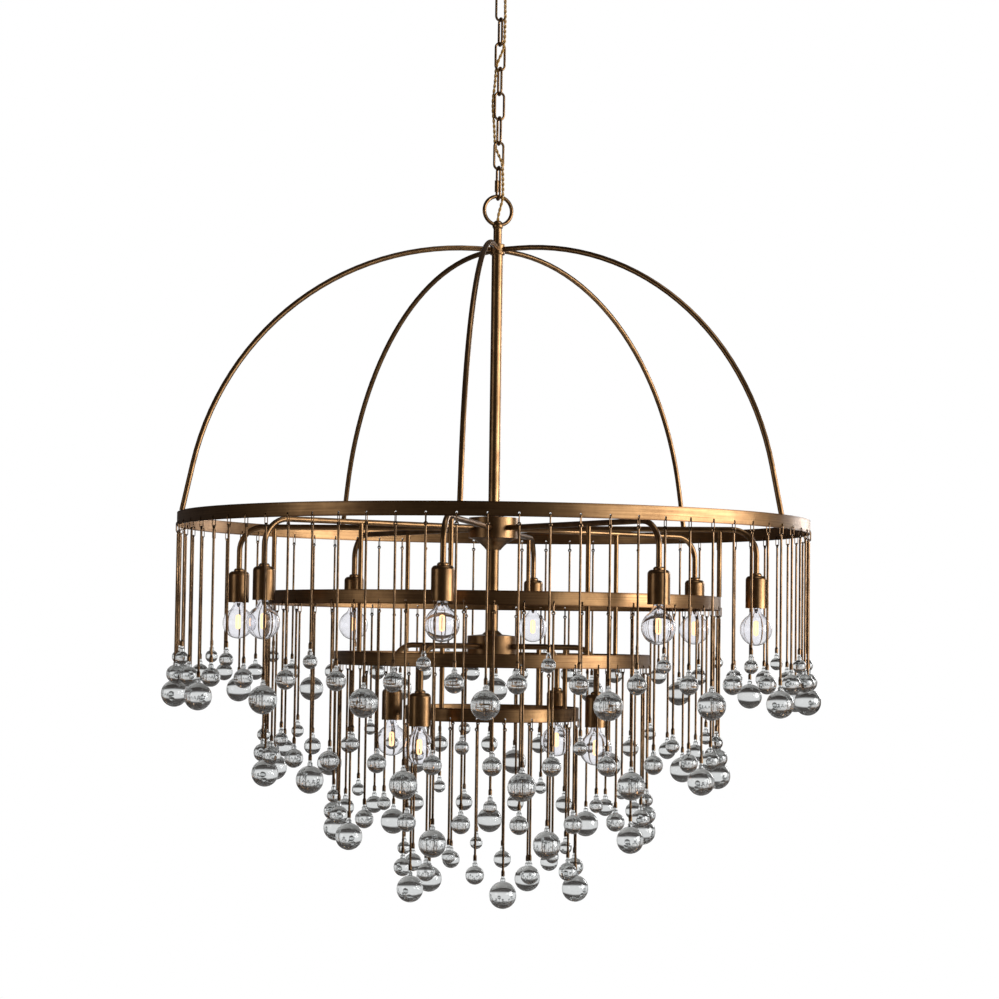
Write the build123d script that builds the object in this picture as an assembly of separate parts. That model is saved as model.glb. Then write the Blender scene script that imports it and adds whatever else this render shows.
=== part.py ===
from build123d import *
import os
from math import pi, radians, sqrt, tan

# Tiered glass-drop chandelier, hung from a ceiling canopy by a laced chain.
# Millimetres, +Z up. The origin is the middle of the ceiling face, so the lamp hangs at negative Z.
# An azimuth is counted from the front (-Y), positive towards +X. Heights stack from the ceiling down.

# Gaps between pieces
play = 0.2              # loose metal loops that hang in each other
sliding_fit = 0.15      # screw sleeve on its link, per side
seat_gap = 0.3          # bulb base in its holder, per side

# Ceiling fitting
canopy_diameter = 120.0
canopy_depth = 32.0
canopy_floor_diameter = 44.0
canopy_rim_height = 5.0
canopy_wall = 1.2
bracket_length = 100.0
bracket_width = 20.0
bracket_thickness = 2.5
slot_spacing = 83.0
slot_length = 12.0
slot_width = 4.4
nipple_diameter = 9.7
nipple_bore = 7.0
nipple_engagement = 6.0
nut_across_flats = 15.0
nut_height = 5.0
collar_diameter = 26.0
collar_height = 8.0
collar_edge = 1.2
boss_diameter = 15.0
boss_height = 11.0
loop_diameter = 40.0
loop_wire = 4.5

# Chain, screw link and hanging ring
chain_turn = 20.0       # the whole chain is turned this far about its own axis
link_count = 7
link_length = 44.0
link_width = 17.5
link_wire = 3.5
screw_link_length = 52.0
screw_gap = 8.0
screw_gap_level = 6.0   # middle of the gap below the middle of the link
sleeve_length = 17.0
sleeve_diameter = 6.0
sleeve_level = 3.3      # middle of the closed sleeve below the middle of the link
ring_diameter = 48.0
ring_wire = 5.5

# Supply cord
cord_diameter = 4.5
cord_hole_clearance = 0.3
cord_hole_depth = 3.0
bend_share = 0.45       # part of the shorter run beside each route point that its bend takes up

# Knuckle, crown, stem and dome
knuckle_diameter = 16.0
knuckle_hole_diameter = 7.5
neck_diameter = 12.5
neck_length = 27.5      # ball centre to the top of the crown
crown_diameter = 22.0
crown_height = 16.0
crown_edge = 1.5
stem_diameter = 16.5
stem_bore = 12.0
dome_height = 394.5     # rod centreline at the crown above the top hoop
dome_rod = 7.6
dome_rod_start = 7.0
dome_straight = 35.0    # the rods leave the crown level as far as this radius
dome_foot_lean = 12.0   # the rods lean in by this angle above the hoop
dome_azimuths = (-5.3, 59.2, 138.3, 212.5, 286.4)

# Hoops: outer diameter, drop below the top hoop, number of hanging drops, azimuth of a large drop
hoop_height = 19.0
hoop_thickness = 3.0
upper_arm_reach = 381.5  # stem's axis to an upper cup's axis
second_hoop_inset = 51.3  # second hoop's outer face inside the upper cups' axes
hoop_diameters = (914.4, 2 * (upper_arm_reach - second_hoop_inset), 457.2, 254.0)
hoop_levels = (0.0, 110.5, 195.0, 272.5)
drop_counts = (72, 52, 36, 20)
first_drop_azimuths = (-0.8, 7.4, 20.2, 9.1)
hole_diameter = 3.0
hole_height = 4.5       # hole centre above the hoop's lower edge

# Hubs
hub_diameter = 72.0
hub_height = 30.5
hub_wall = 2.5
hub_crown = 1.2         # sloping top, at the foot of its cone above the rim
hub_edge_drop = 1.0     # drum edge below the rim
hub_cone_height = 5.5   # cone round the stem
hub_cone_width = 6.5
hub_cone_lip = 0.5      # top of the cone, wider than the stem by this much per side
dish_depth = 17.0
dish_flare = 8.2        # depth of the trumpet a third of the way out
dish_wall = 2.0
dish_neck = 2.5         # dish foot, wider than the stem by this much per side
upper_hub_level = -2.0  # hub rim below the top hoop's upper edge
lower_hub_level = 169.4
arm_level = 16.0        # arm centreline below the hub rim

# Arms and struts
arm_diameter = 8.0
arm_bore = 6.0
arm_bend = 36.0
arm_inside_hub = 3.0
lower_arm_reach = 177.7
upper_arm_azimuth = -9.7
lower_arm_azimuth = -33.7
upper_arm_count = 8
lower_arm_count = 4
strut_diameter = 6.8

# Socket cups, holders and bulbs
upper_cup_level = 80.0  # cup top below the top hoop's upper edge
lower_cup_level = 251.0
cup_diameter = 30.5
cup_height = 46.0
cup_wall = 1.2
cup_shoulder = 6.0
ferrule_diameter = 15.5
ferrule_height = 4.0
arm_in_cup = 8.0
holder_diameter = 24.0
holder_height = 30.0
holder_bore = 14.6
holder_bore_depth = 26.0
bulb_diameter = 46.0
bulb_wall = 0.9
bulb_drop = 30.5        # globe centre below the cup's lower edge
bulb_neck_diameter = 14.6
bulb_shoulder_diameter = 22.0
bulb_base_height = 23.0
bulb_stem_diameter = 5.0
bulb_stem_length = 24.0

# Hanging drops
hook_wire = 1.3
hook_clearance = 0.3    # hook leg from the hoop's face
hook_length = 14.0      # between the wire centres of the two bends
eye_radius = 2.0
eye_wire = 1.9
drop_wire_sides = 8     # the 180 hooks and eyes are eight-sided, to keep their meshes light
rod_diameter = 3.2
tip_diameter = 5.0
tip_height = 9.0
tip_taper = 2.5
glass_neck_diameter = 4.5
glass_neck_height = 2.5
bead_diameter = 7.0
neck_height = 7.0       # metal tip above the top of the ball
touch = 0.05            # loose hooks and eyes stand this far off each other
ball_sizes = {"large": 38.0, "medium": 26.0, "small": 19.0}
ball_levels = {"large": 239.0, "medium": 212.0, "small": 188.0}  # ball centre below the hoop's lower edge
drop_pattern = ("large", "medium", "small", "medium")


def turned(shape, azimuth):
    """Turn a shape that was made at the front to its azimuth."""
    return Rot(0, 0, azimuth) * shape


def lathe(*edges):
    """Revolve an outline of edges, drawn as radius and height, about the lamp's axis."""
    return revolve(Plane.XZ * make_face(edges), Axis.Z)


def outline(*points):
    """Straight edges from point to point."""
    return Polyline(*points)


def tube(outer, inner, low, high):
    """A straight round tube on the lamp's axis."""
    middle = Pos(0, 0, (low + high) / 2)
    return middle * (Cylinder(outer / 2, high - low) - Cylinder(inner / 2, high - low))


def wire_link(length, width, section):
    """A closed oval link with a wire's section, in the XZ plane and centred on the origin."""
    wire = section.bounding_box().size.X
    bend = (width - wire) / 2
    half = (length - width) / 2
    path = Wire([
        Edge.make_line((bend, 0, -half), (bend, 0, half)),
        Edge.make_three_point_arc((bend, 0, half), (0, 0, half + bend), (-bend, 0, half)),
        Edge.make_line((-bend, 0, half), (-bend, 0, -half)),
        Edge.make_three_point_arc((-bend, 0, -half), (0, 0, -half - bend), (bend, 0, -half))])
    return sweep(Plane(origin=(bend, 0, -half), z_dir=(0, 0, 1)) * section, path=path)


def bent_rod(diameter, bore, points, bend):
    """A round rod or tube along points in the YZ plane, with one bend radius."""
    path = FilletPolyline(*points, radius=bend)
    section = Circle(diameter / 2)
    if bore:
        section -= Circle(bore / 2)
    return sweep(Plane(origin=points[0], z_dir=path % 0) * section, path=path)


# Heights of the ceiling fitting and the chain
canopy_floor = -canopy_depth
collar_low = canopy_floor - collar_height
boss_low = collar_low - boss_height
loop_radius = (loop_diameter - loop_wire) / 2
loop_centre = boss_low + loop_wire / 2 - loop_radius
hang_height = loop_centre - loop_radius


def hang_below(upper_wire_height, upper_wire, wire):
    """Height of a loop's top wire when it hangs on the wire of the loop above."""
    return upper_wire_height + (upper_wire + wire) / 2 + play


# Wire heights of the links, from the top link down to the screw link
link_lengths = [link_length] * link_count + [screw_link_length]
link_tops = []
link_bottoms = []
above = hang_height
above_wire = loop_wire
for length in link_lengths:
    link_tops.append(hang_below(above, above_wire, link_wire))
    link_bottoms.append(link_tops[-1] - (length - link_wire))
    above = link_bottoms[-1]
    above_wire = link_wire
ring_radius = (ring_diameter - ring_wire) / 2
ring_centre = hang_below(above, link_wire, ring_wire) - ring_radius
ring_low = ring_centre - ring_radius

# Heights of the lamp
knuckle_drop = (knuckle_hole_diameter - ring_wire) / 2 - play
knuckle_centre = ring_low - knuckle_drop
crown_top = knuckle_centre - neck_length
crown_low = crown_top - crown_height
dome_top = (crown_top + crown_low) / 2
hoop_zero = dome_top - dome_height
hoop_tops = [hoop_zero - level for level in hoop_levels]
hoop_lows = [top - hoop_height for top in hoop_tops]
hoop_radii = [diameter / 2 - hoop_thickness / 2 for diameter in hoop_diameters]
upper_hub_rim = hoop_zero - upper_hub_level
lower_hub_rim = hoop_zero - lower_hub_level
upper_arm_height = upper_hub_rim - arm_level
lower_arm_height = lower_hub_rim - arm_level
upper_cup_top = hoop_zero - upper_cup_level
lower_cup_top = hoop_zero - lower_cup_level
upper_arm_azimuths = [upper_arm_azimuth + i * 360 / upper_arm_count for i in range(upper_arm_count)]
lower_arm_azimuths = [lower_arm_azimuth + i * 360 / lower_arm_count for i in range(lower_arm_count)]
cord_hole = cord_diameter + 2 * cord_hole_clearance
cord_low = knuckle_centre + knuckle_diameter / 2 - cord_hole_depth
cord_high = boss_low + cord_hole_depth

nodes = {}


def node(name, *shapes):
    """Keep the solids of a sub-part under its name."""
    nodes[name] = Compound([solid for shape in shapes for solid in shape.solids()])


# Ceiling bracket, its nut and the hollow nipple
bracket = Pos(0, 0, -bracket_thickness / 2) * Box(bracket_length, bracket_width, bracket_thickness)
bracket -= Cylinder(nipple_diameter / 2, 3 * bracket_thickness)
for side in (-1, 1):
    slot = SlotOverall(slot_length, slot_width)
    bracket -= Pos(side * slot_spacing / 2, 0, 0) * extrude(slot, bracket_thickness, both=True)
node("ceiling_bracket", bracket)

nut_low = -bracket_thickness - nut_height
nut = Pos(0, 0, nut_low) * extrude(RegularPolygon(nut_across_flats / 2, 6, major_radius=False), nut_height)
node("bracket_nut", nut - Pos(0, 0, nut_low) * Cylinder(nipple_diameter / 2, 3 * nut_height))
node("bracket_nipple", tube(nipple_diameter, nipple_bore, collar_low - nipple_engagement, 0))


def canopy_body(rim_radius, floor_radius, depth):
    """A bowl with a short upright rim, as a closed solid."""
    rim_low = -canopy_rim_height
    side = outline((0, 0), (rim_radius, 0), (rim_radius, rim_low))
    bowl = TangentArc((floor_radius, -depth), (rim_radius, rim_low), tangent=(1, 0))
    return lathe(side, bowl, outline((floor_radius, -depth), (0, -depth), (0, 0)))


canopy_radius = canopy_diameter / 2
floor_radius = canopy_floor_diameter / 2
canopy = canopy_body(canopy_radius, floor_radius, canopy_depth)
canopy -= canopy_body(canopy_radius - canopy_wall, floor_radius, canopy_depth - canopy_wall)
canopy -= Cylinder(nipple_diameter / 2, 3 * canopy_depth)
node("canopy", canopy)

collar = tube(collar_diameter, nipple_diameter, collar_low, canopy_floor)
collar_rims = collar.edges().filter_by(GeomType.CIRCLE).sort_by(SortBy.RADIUS)[-2:]
node("canopy_collar", chamfer(collar_rims, collar_edge))

# Closed loop under the collar, with a hollow boss on the nipple's end
boss = tube(boss_diameter, cord_hole, boss_low, collar_low)
boss -= tube(nipple_diameter, cord_hole, collar_low - nipple_engagement, collar_low)
loop = Pos(0, 0, loop_centre) * Rot(0, 0, chain_turn) * Rot(0, 90, 0) * Torus(loop_radius, loop_wire / 2)
loop_clear = Pos(0, 0, collar_low - nipple_engagement) * Cylinder(cord_hole / 2, 3 * boss_height)
node("canopy_loop", boss + (loop - loop_clear))

# Chain links, turned a quarter each, and the screw link that holds the ring
for i in range(link_count):
    number = link_count + 1 - i
    turn = chain_turn + 90 * (i % 2)
    middle = (link_tops[i] + link_bottoms[i]) / 2
    link = wire_link(link_length, link_width, Circle(link_wire / 2))
    node(f"chain_link_{number}", Pos(0, 0, middle) * Rot(0, 0, turn) * link)

screw_turn = chain_turn + 90 * (link_count % 2)
screw_place = Pos(0, 0, (link_tops[-1] + link_bottoms[-1]) / 2) * Rot(0, 0, screw_turn)
screw_leg = (link_width - link_wire) / 2
screw_link = wire_link(screw_link_length, link_width, Circle(link_wire / 2))
screw_link -= Pos(screw_leg, 0, -screw_gap_level) * Cylinder(link_wire, screw_gap)
node("screw_link", screw_place * screw_link)
sleeve = tube(sleeve_diameter, link_wire + 2 * sliding_fit, -sleeve_length / 2, sleeve_length / 2)
node("screw_sleeve", screw_place * Pos(screw_leg, 0, -sleeve_level) * sleeve)

# Hanging ring, and the knuckle ball that it passes through
ring_place = Pos(0, 0, ring_centre) * Rot(0, 0, chain_turn) * Rot(90, 0, 0)
node("hanging_ring", ring_place * Torus(ring_radius, ring_wire / 2))
ball_radius = knuckle_diameter / 2
neck_radius = neck_diameter / 2
neck_join = knuckle_centre - sqrt(ball_radius ** 2 - neck_radius ** 2)
knuckle_top = knuckle_centre + ball_radius
knuckle = lathe(
    ThreePointArc((0, knuckle_top), (ball_radius, knuckle_centre), (neck_radius, neck_join)),
    outline((neck_radius, neck_join), (neck_radius, crown_top), (0, crown_top), (0, knuckle_top)))
knuckle -= Pos(0, 0, -knuckle_drop) * ring_place * Torus(ring_radius, knuckle_hole_diameter / 2)
knuckle -= Pos(0, 0, cord_low + cord_hole_depth) * Cylinder(cord_hole / 2, 2 * cord_hole_depth)
node("top_knuckle", knuckle)

# Dome rods from the crown to the top hoop's edge
dome_corner = hoop_radii[0] - dome_height * tan(radians(dome_foot_lean))
dome_turn = 90 - dome_foot_lean
dome_bend = (dome_corner - dome_straight) / tan(radians(dome_turn / 2))
foot_spare = 2 * dome_rod
dome_rod_shape = bent_rod(dome_rod, 0, [
    (0, -dome_rod_start, dome_top), (0, -dome_corner, dome_top),
    (0, -hoop_radii[0] - foot_spare * tan(radians(dome_foot_lean)), hoop_zero - foot_spare)], dome_bend)
dome_rod_shape = split(dome_rod_shape, Plane((0, 0, hoop_zero)), keep=Keep.TOP)
dome_rods = [turned(dome_rod_shape, azimuth) for azimuth in dome_azimuths]
node("dome_rods", *dome_rods)

crown = Pos(0, 0, dome_top) * Cylinder(crown_diameter / 2, crown_height)
crown = fillet(crown.edges(), crown_edge)
node("crown_collar", crown - dome_rods)

# Stem, through the upper hub and down to the foot of the lower hub's dish
stem_low = lower_hub_rim - hub_height - dish_depth
node("stem", tube(stem_diameter, stem_bore, stem_low, crown_low))

# Arms, bent down into their cups
hub_radius = hub_diameter / 2


def arm(reach, height, cup_top):
    start = hub_radius - hub_wall - arm_inside_hub
    return bent_rod(arm_diameter, arm_bore, [
        (0, -start, height), (0, -reach, height), (0, -reach, cup_top - arm_in_cup)], arm_bend)


upper_arm = arm(upper_arm_reach, upper_arm_height, upper_cup_top)
lower_arm = arm(lower_arm_reach, lower_arm_height, lower_cup_top)
node("upper_arms", *[turned(upper_arm, azimuth) for azimuth in upper_arm_azimuths])
node("lower_arms", *[turned(lower_arm, azimuth) for azimuth in lower_arm_azimuths])


def hub_drum(rim):
    """A drum with a sloping top and a cone round the stem, open below."""
    stem_radius = stem_diameter / 2
    inner = hub_radius - hub_wall
    low = rim - hub_height
    cone_low = rim + hub_crown
    cone_top = cone_low + hub_cone_height
    return lathe(outline(
        (stem_radius, cone_top), (stem_radius + hub_cone_lip, cone_top),
        (stem_radius + hub_cone_width, cone_low), (hub_radius, rim - hub_edge_drop), (hub_radius, low),
        (inner, low), (inner, rim - 2 * hub_wall), (stem_radius, rim - 2 * hub_wall),
        (stem_radius, cone_top)))


def hub_dish(rim):
    """A trumpet-shaped cover under a hub drum."""
    stem_radius = stem_diameter / 2
    high = rim - hub_height
    low = high - dish_depth
    foot = stem_radius + dish_neck
    middle = (hub_radius + 2 * foot) / 3
    under = ThreePointArc((hub_radius, high), (middle, high - dish_flare), (foot, low))
    over = ThreePointArc((stem_radius, low + 2 * dish_wall), (middle, high - dish_flare + dish_wall),
                         (hub_radius - dish_wall, high))
    return lathe(outline((hub_radius - dish_wall, high), (hub_radius, high)), under,
                 outline((foot, low), (stem_radius, low), (stem_radius, low + 2 * dish_wall)), over)


def arm_holes(count, first, height):
    """Round holes in a hub wall, where its arms go in."""
    hole = Pos(0, -hub_radius, height) * Rot(90, 0, 0) * Cylinder(arm_diameter / 2, 4 * hub_wall)
    return [turned(hole, first + i * 360 / count) for i in range(count)]


node("upper_hub", hub_drum(upper_hub_rim) - arm_holes(upper_arm_count, upper_arm_azimuth, upper_arm_height))
node("upper_hub_dish", hub_dish(upper_hub_rim))
node("lower_hub", hub_drum(lower_hub_rim) - arm_holes(lower_arm_count, lower_arm_azimuth, lower_arm_height))
node("lower_hub_dish", hub_dish(lower_hub_rim))

# Flat hoops, with a hole above the lower edge for each hook
drop_azimuths = []
for tier in range(4):
    count = drop_counts[tier]
    azimuths = [first_drop_azimuths[tier] + i * 360 / count for i in range(count)]
    drop_azimuths.append(azimuths)
    outer = hoop_diameters[tier]
    band = tube(outer, outer - 2 * hoop_thickness, hoop_lows[tier], hoop_tops[tier])
    drill = Pos(0, -hoop_radii[tier], hoop_lows[tier] + hole_height) * Rot(90, 0, 0)
    drill = drill * Cylinder(hole_diameter / 2, 3 * hoop_thickness)
    node(f"hoop_{tier + 1}", band - [turned(drill, azimuth) for azimuth in azimuths])


# Struts from the arms to the three lower hoops
def struts(tier, azimuths, arm_height):
    """Four posts that stand on a hoop's upper edge and meet the arms above."""
    low = hoop_tops[tier]
    post = Pos(0, -hoop_radii[tier], (low + arm_height) / 2) * Cylinder(strut_diameter / 2, arm_height - low)
    rod = Pos(0, -hoop_radii[tier], arm_height) * Rot(90, 0, 0) * Cylinder(arm_diameter / 2, 4 * arm_diameter)
    return [turned(post - rod, azimuth) for azimuth in azimuths]


node("hoop_struts",
     *struts(1, upper_arm_azimuths[0::2], upper_arm_height),
     *struts(2, upper_arm_azimuths[1::2], upper_arm_height),
     *struts(3, lower_arm_azimuths, lower_arm_height))

# Socket cups, holders and bulbs, made with the cup's top at height zero
cup_outer = Pos(0, 0, -cup_height / 2) * Cylinder(cup_diameter / 2, cup_height)
cup_outer = fillet(cup_outer.edges().sort_by(Axis.Z)[-1], cup_shoulder)
cup_inner = Pos(0, 0, -cup_wall - cup_height / 2) * Cylinder(cup_diameter / 2 - cup_wall, cup_height)
cup_inner = fillet(cup_inner.edges().sort_by(Axis.Z)[-1], cup_shoulder - cup_wall)
ferrule = tube(ferrule_diameter, arm_diameter, 0, ferrule_height)
ferrule = chamfer(ferrule.edges().group_by(Axis.Z)[-1].sort_by(SortBy.RADIUS)[-1], ferrule_height / 2)
cup = (cup_outer + ferrule) - cup_inner - Cylinder(arm_diameter / 2, 4 * ferrule_height)

holder_low = -arm_in_cup - holder_height
holder = Pos(0, 0, holder_low + holder_height / 2) * Cylinder(holder_diameter / 2, holder_height)
holder -= Pos(0, 0, holder_low + holder_bore_depth / 2) * Cylinder(holder_bore / 2, holder_bore_depth)

globe_centre = -cup_height - bulb_drop
neck_top = holder_low - seat_gap


def globe(inset):
    """The bulb's globe and neck as a closed solid, drawn in by a wall's thickness."""
    radius = bulb_diameter / 2 - inset
    shoulder = bulb_shoulder_diameter / 2 - inset
    neck = bulb_neck_diameter / 2 - inset
    join = globe_centre + sqrt(radius ** 2 - shoulder ** 2)
    return lathe(
        ThreePointArc((0, globe_centre - radius), (radius, globe_centre), (shoulder, join)),
        outline((shoulder, join), (neck, neck_top), (0, neck_top), (0, globe_centre - radius)))


envelope = globe(0) - globe(bulb_wall)
base_radius = holder_bore / 2 - seat_gap
bulb_base = Pos(0, 0, neck_top + bulb_base_height / 2) * Cylinder(base_radius, bulb_base_height)
bulb_base = fillet(bulb_base.edges().sort_by(Axis.Z)[-1], base_radius / 3)
bulb_base += Pos(0, 0, neck_top - bulb_stem_length / 2) * Cylinder(bulb_stem_diameter / 2, bulb_stem_length)


def socket_places():
    """Placements of the twelve cup tops: the upper circle, then the lower."""
    upper = [Rot(0, 0, a) * Pos(0, -upper_arm_reach, upper_cup_top) for a in upper_arm_azimuths]
    return upper + [Rot(0, 0, a) * Pos(0, -lower_arm_reach, lower_cup_top) for a in lower_arm_azimuths]


places = socket_places()
node("upper_socket_cups", *[place * cup for place in places[:upper_arm_count]])
node("lower_socket_cups", *[place * cup for place in places[upper_arm_count:]])
node("lampholders", *[place * holder for place in places])
for number, place in enumerate(places, 1):
    node(f"bulb_{number:02d}", place * envelope, place * bulb_base)

# Hanging drops, made with the hoop's lower edge at height zero
hook_bend = hoop_thickness / 2 + hook_clearance + hook_wire / 2
hook_inner = hook_bend - hook_wire / 2
hook_sag = hook_inner - sqrt(hook_inner ** 2 - (hoop_thickness / 2) ** 2)
hook_top = hole_height - hole_diameter / 2 + hook_wire / 2 + hook_sag + touch
hook_low = hook_top - hook_length
hook_section = RegularPolygon(hook_wire / 2, drop_wire_sides)
hook = wire_link(hook_length + hook_wire, 2 * hook_bend + hook_wire, hook_section)
hook = Pos(0, 0, (hook_top + hook_low) / 2) * Rot(0, 0, 90) * hook
eye_inner = eye_radius - eye_wire / 2
eye_centre = hook_low + hook_wire / 2 + touch - eye_inner


def rod(size):
    """A thin rod with an eye at the top and a stouter tip at the bottom."""
    tip_low = -ball_levels[size] + ball_sizes[size] / 2 + neck_height
    tip_high = tip_low + tip_height
    shank_top = eye_centre - eye_radius
    shank = lathe(outline(
        (0, shank_top), (rod_diameter / 2, shank_top), (rod_diameter / 2, tip_high),
        (tip_diameter / 2, tip_high - tip_taper), (tip_diameter / 2, tip_low), (0, tip_low), (0, shank_top)))
    eye = revolve(Plane.XZ * Pos(eye_radius, 0) * RegularPolygon(eye_wire / 2, drop_wire_sides), Axis.Z)
    return shank + Pos(0, 0, eye_centre) * Rot(90, 0, 0) * eye


def glass_ball(size):
    """A glass ball with a bead and a narrow neck at the top."""
    radius = ball_sizes[size] / 2
    centre = -ball_levels[size]
    top = centre + radius + neck_height
    bead = bead_diameter / 2
    neck = glass_neck_diameter / 2
    join = centre + sqrt(radius ** 2 - bead ** 2)
    neck_low = top - glass_neck_height
    return lathe(
        ThreePointArc((0, centre - radius), (radius, centre), (bead, join)),
        outline((bead, join), (bead, neck_low - (bead - neck)), (neck, neck_low), (neck, top), (0, top),
                (0, centre - radius)))


rods = {size: rod(size) for size in ball_sizes}
balls = {size: glass_ball(size) for size in ball_sizes}
all_hooks = []
for tier in range(4):
    tier_rods = []
    tier_balls = []
    for i, azimuth in enumerate(drop_azimuths[tier]):
        size = drop_pattern[i % len(drop_pattern)]
        place = Rot(0, 0, azimuth) * Pos(0, -hoop_radii[tier], hoop_lows[tier])
        all_hooks.append(place * hook)
        tier_rods.append(place * rods[size])
        tier_balls.append(place * balls[size])
    node(f"drop_rods_{tier + 1}", *tier_rods)
    node(f"glass_balls_{tier + 1}", *tier_balls)
node("drop_hooks", *all_hooks)

# Supply cord: side, depth and height in the chain's own turned frame, heights above the knuckle's cord hole.
# It rises through the ring, goes through the second link, up the left, through the sixth and up the right.
cord_route = [
    (0.0, 0.0, 0.0), (0.0, 0.0, 5.0), (0.6, -1.1, 12.0), (2.5, -3.7, 22.0), (4.9, -6.0, 33.0),
    (5.2, -6.3, 48.0), (4.9, -5.9, 65.0), (4.7, -5.2, 79.0), (3.6, -2.7, 90.0), (0.0, 0.9, 100.0),
    (-3.4, 4.0, 110.0), (-4.9, 5.2, 122.0), (-5.4, 5.2, 138.0), (-7.0, 5.0, 154.0), (-8.7, 4.9, 170.0),
    (-8.2, 5.1, 185.0), (-6.2, 5.2, 200.0), (-5.1, 4.9, 214.0), (-4.7, 4.4, 227.0), (-3.2, 2.8, 237.0),
    (0.4, -0.6, 247.0), (3.6, -3.6, 256.0), (5.0, -5.2, 268.0), (5.1, -5.0, 284.0), (5.5, -5.1, 300.0),
    (5.3, -5.0, 316.0), (5.1, -4.7, 330.0), (4.9, -4.6, 341.0), (3.4, -3.0, 351.0), (0.7, -0.6, 361.0),
    (0.0, 0.0, 368.0)]
cord_points = [Vector(x, y, cord_low + z) for x, y, z in cord_route] + [Vector(0, 0, cord_high)]
cord_radii = []
for before, point, after in zip(cord_points, cord_points[1:], cord_points[2:]):
    turn = radians((point - before).get_angle(after - point))
    shorter_run = min((point - before).length, (after - point).length)
    cord_radii.append(bend_share * shorter_run / tan(turn / 2))
cord_path = FilletPolyline(*cord_points, radius=cord_radii)
cord_section = Plane(origin=cord_points[0], z_dir=cord_path % 0) * Circle(cord_diameter / 2)
cord = sweep(cord_section, path=cord_path)
node("supply_cord", Rot(0, 0, chain_turn) * cord)
cord_area = pi * (cord_diameter / 2) ** 2
print("cord length", round(cord_path.length, 1), "volume over section times length",
      round(cord.volume / (cord_area * cord_path.length), 4))
print("cord radii", [round(radius) for radius in cord_radii])
print("link hinge heights", [round(height, 2) for height in [hang_height] + link_bottoms])
print("ring", round(ring_low, 2), "knuckle", round(knuckle_centre, 2), "top hoop", round(hoop_zero, 2))

os.makedirs("parts", exist_ok=True)
for name, shape in nodes.items():
    export_step(shape, f"parts/{name}.step")
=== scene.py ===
import math

import bpy
from bpy.props import FloatProperty, FloatVectorProperty, IntProperty, PointerProperty
from mathutils import Matrix, Vector


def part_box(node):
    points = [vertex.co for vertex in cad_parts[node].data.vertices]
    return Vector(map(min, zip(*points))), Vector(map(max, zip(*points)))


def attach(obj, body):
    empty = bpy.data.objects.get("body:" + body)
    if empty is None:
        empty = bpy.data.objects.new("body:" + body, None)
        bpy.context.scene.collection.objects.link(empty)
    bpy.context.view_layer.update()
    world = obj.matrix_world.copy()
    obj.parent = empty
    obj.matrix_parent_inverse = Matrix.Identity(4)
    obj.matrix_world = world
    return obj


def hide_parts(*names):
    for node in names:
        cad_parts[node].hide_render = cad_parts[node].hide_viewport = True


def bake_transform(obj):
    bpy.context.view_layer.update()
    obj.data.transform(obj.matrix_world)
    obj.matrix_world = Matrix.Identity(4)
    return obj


bl_info = {
    "name": "Glass-Drop Chandelier",
    "version": (1, 0, 0),
    "blender": (4, 5, 0),
    "location": "3D View > Sidebar > Chandelier",
    "description": "Dresses the packed chandelier with its metal, glass, bulbs, cord and a white studio",
    "category": "Object",
}

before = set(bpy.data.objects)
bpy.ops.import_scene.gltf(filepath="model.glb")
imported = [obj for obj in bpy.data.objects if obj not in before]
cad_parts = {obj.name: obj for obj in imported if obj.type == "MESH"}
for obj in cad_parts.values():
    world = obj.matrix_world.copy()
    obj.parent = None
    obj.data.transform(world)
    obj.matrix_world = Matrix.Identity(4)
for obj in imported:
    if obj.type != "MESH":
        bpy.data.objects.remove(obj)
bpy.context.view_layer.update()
HOOPS = ("hoop_1", "hoop_2", "hoop_3", "hoop_4")
TOP_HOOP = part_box("hoop_1")[1].z
BULBS = [f"bulb_{number:02d}" for number in range(1, 13)]
BALLS = [f"glass_balls_{tier}" for tier in range(1, 5)]
DROP_RODS = [f"drop_rods_{tier}" for tier in range(1, 5)]
CHAIN = ([f"chain_link_{number}" for number in range(8, 1, -1)]
         + ["screw_link", "screw_sleeve", "hanging_ring"])
STEELWORK = ("ceiling_bracket", "bracket_nut", "bracket_nipple")
FRAMEWORK = ("canopy", "canopy_collar", "canopy_loop", "top_knuckle", "crown_collar", "stem", "dome_rods",
             "upper_arms", "lower_arms", "upper_hub", "upper_hub_dish", "lower_hub", "lower_hub_dish",
             "hoop_struts", "upper_socket_cups", "lower_socket_cups")

# The cord's way up the chain, in metres: side, depth and height in the chain's own turned frame.
CHAIN_TURN = math.radians(20)
CORD_ROUTE = (
    (0.0, 0.0, 0.0), (0.0, 0.0, 0.005), (0.0006, -0.0011, 0.012), (0.0025, -0.0037, 0.022),
    (0.0049, -0.006, 0.033), (0.0052, -0.0063, 0.048), (0.0049, -0.0059, 0.065), (0.0047, -0.0052, 0.079),
    (0.0036, -0.0027, 0.09), (0.0, 0.0009, 0.1), (-0.0034, 0.004, 0.11), (-0.0049, 0.0052, 0.122),
    (-0.0054, 0.0052, 0.138), (-0.007, 0.005, 0.154), (-0.0087, 0.0049, 0.17), (-0.0082, 0.0051, 0.185),
    (-0.0062, 0.0052, 0.2), (-0.0051, 0.0049, 0.214), (-0.0047, 0.0044, 0.227), (-0.0032, 0.0028, 0.237),
    (0.0004, -0.0006, 0.247), (0.0036, -0.0036, 0.256), (0.005, -0.0052, 0.268), (0.0051, -0.005, 0.284),
    (0.0055, -0.0051, 0.3), (0.0053, -0.005, 0.316), (0.0051, -0.0047, 0.33), (0.0049, -0.0046, 0.341),
    (0.0034, -0.003, 0.351), (0.0007, -0.0006, 0.361), (0.0, 0.0, 0.368), (0.0, 0.0, 0.37175))
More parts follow.
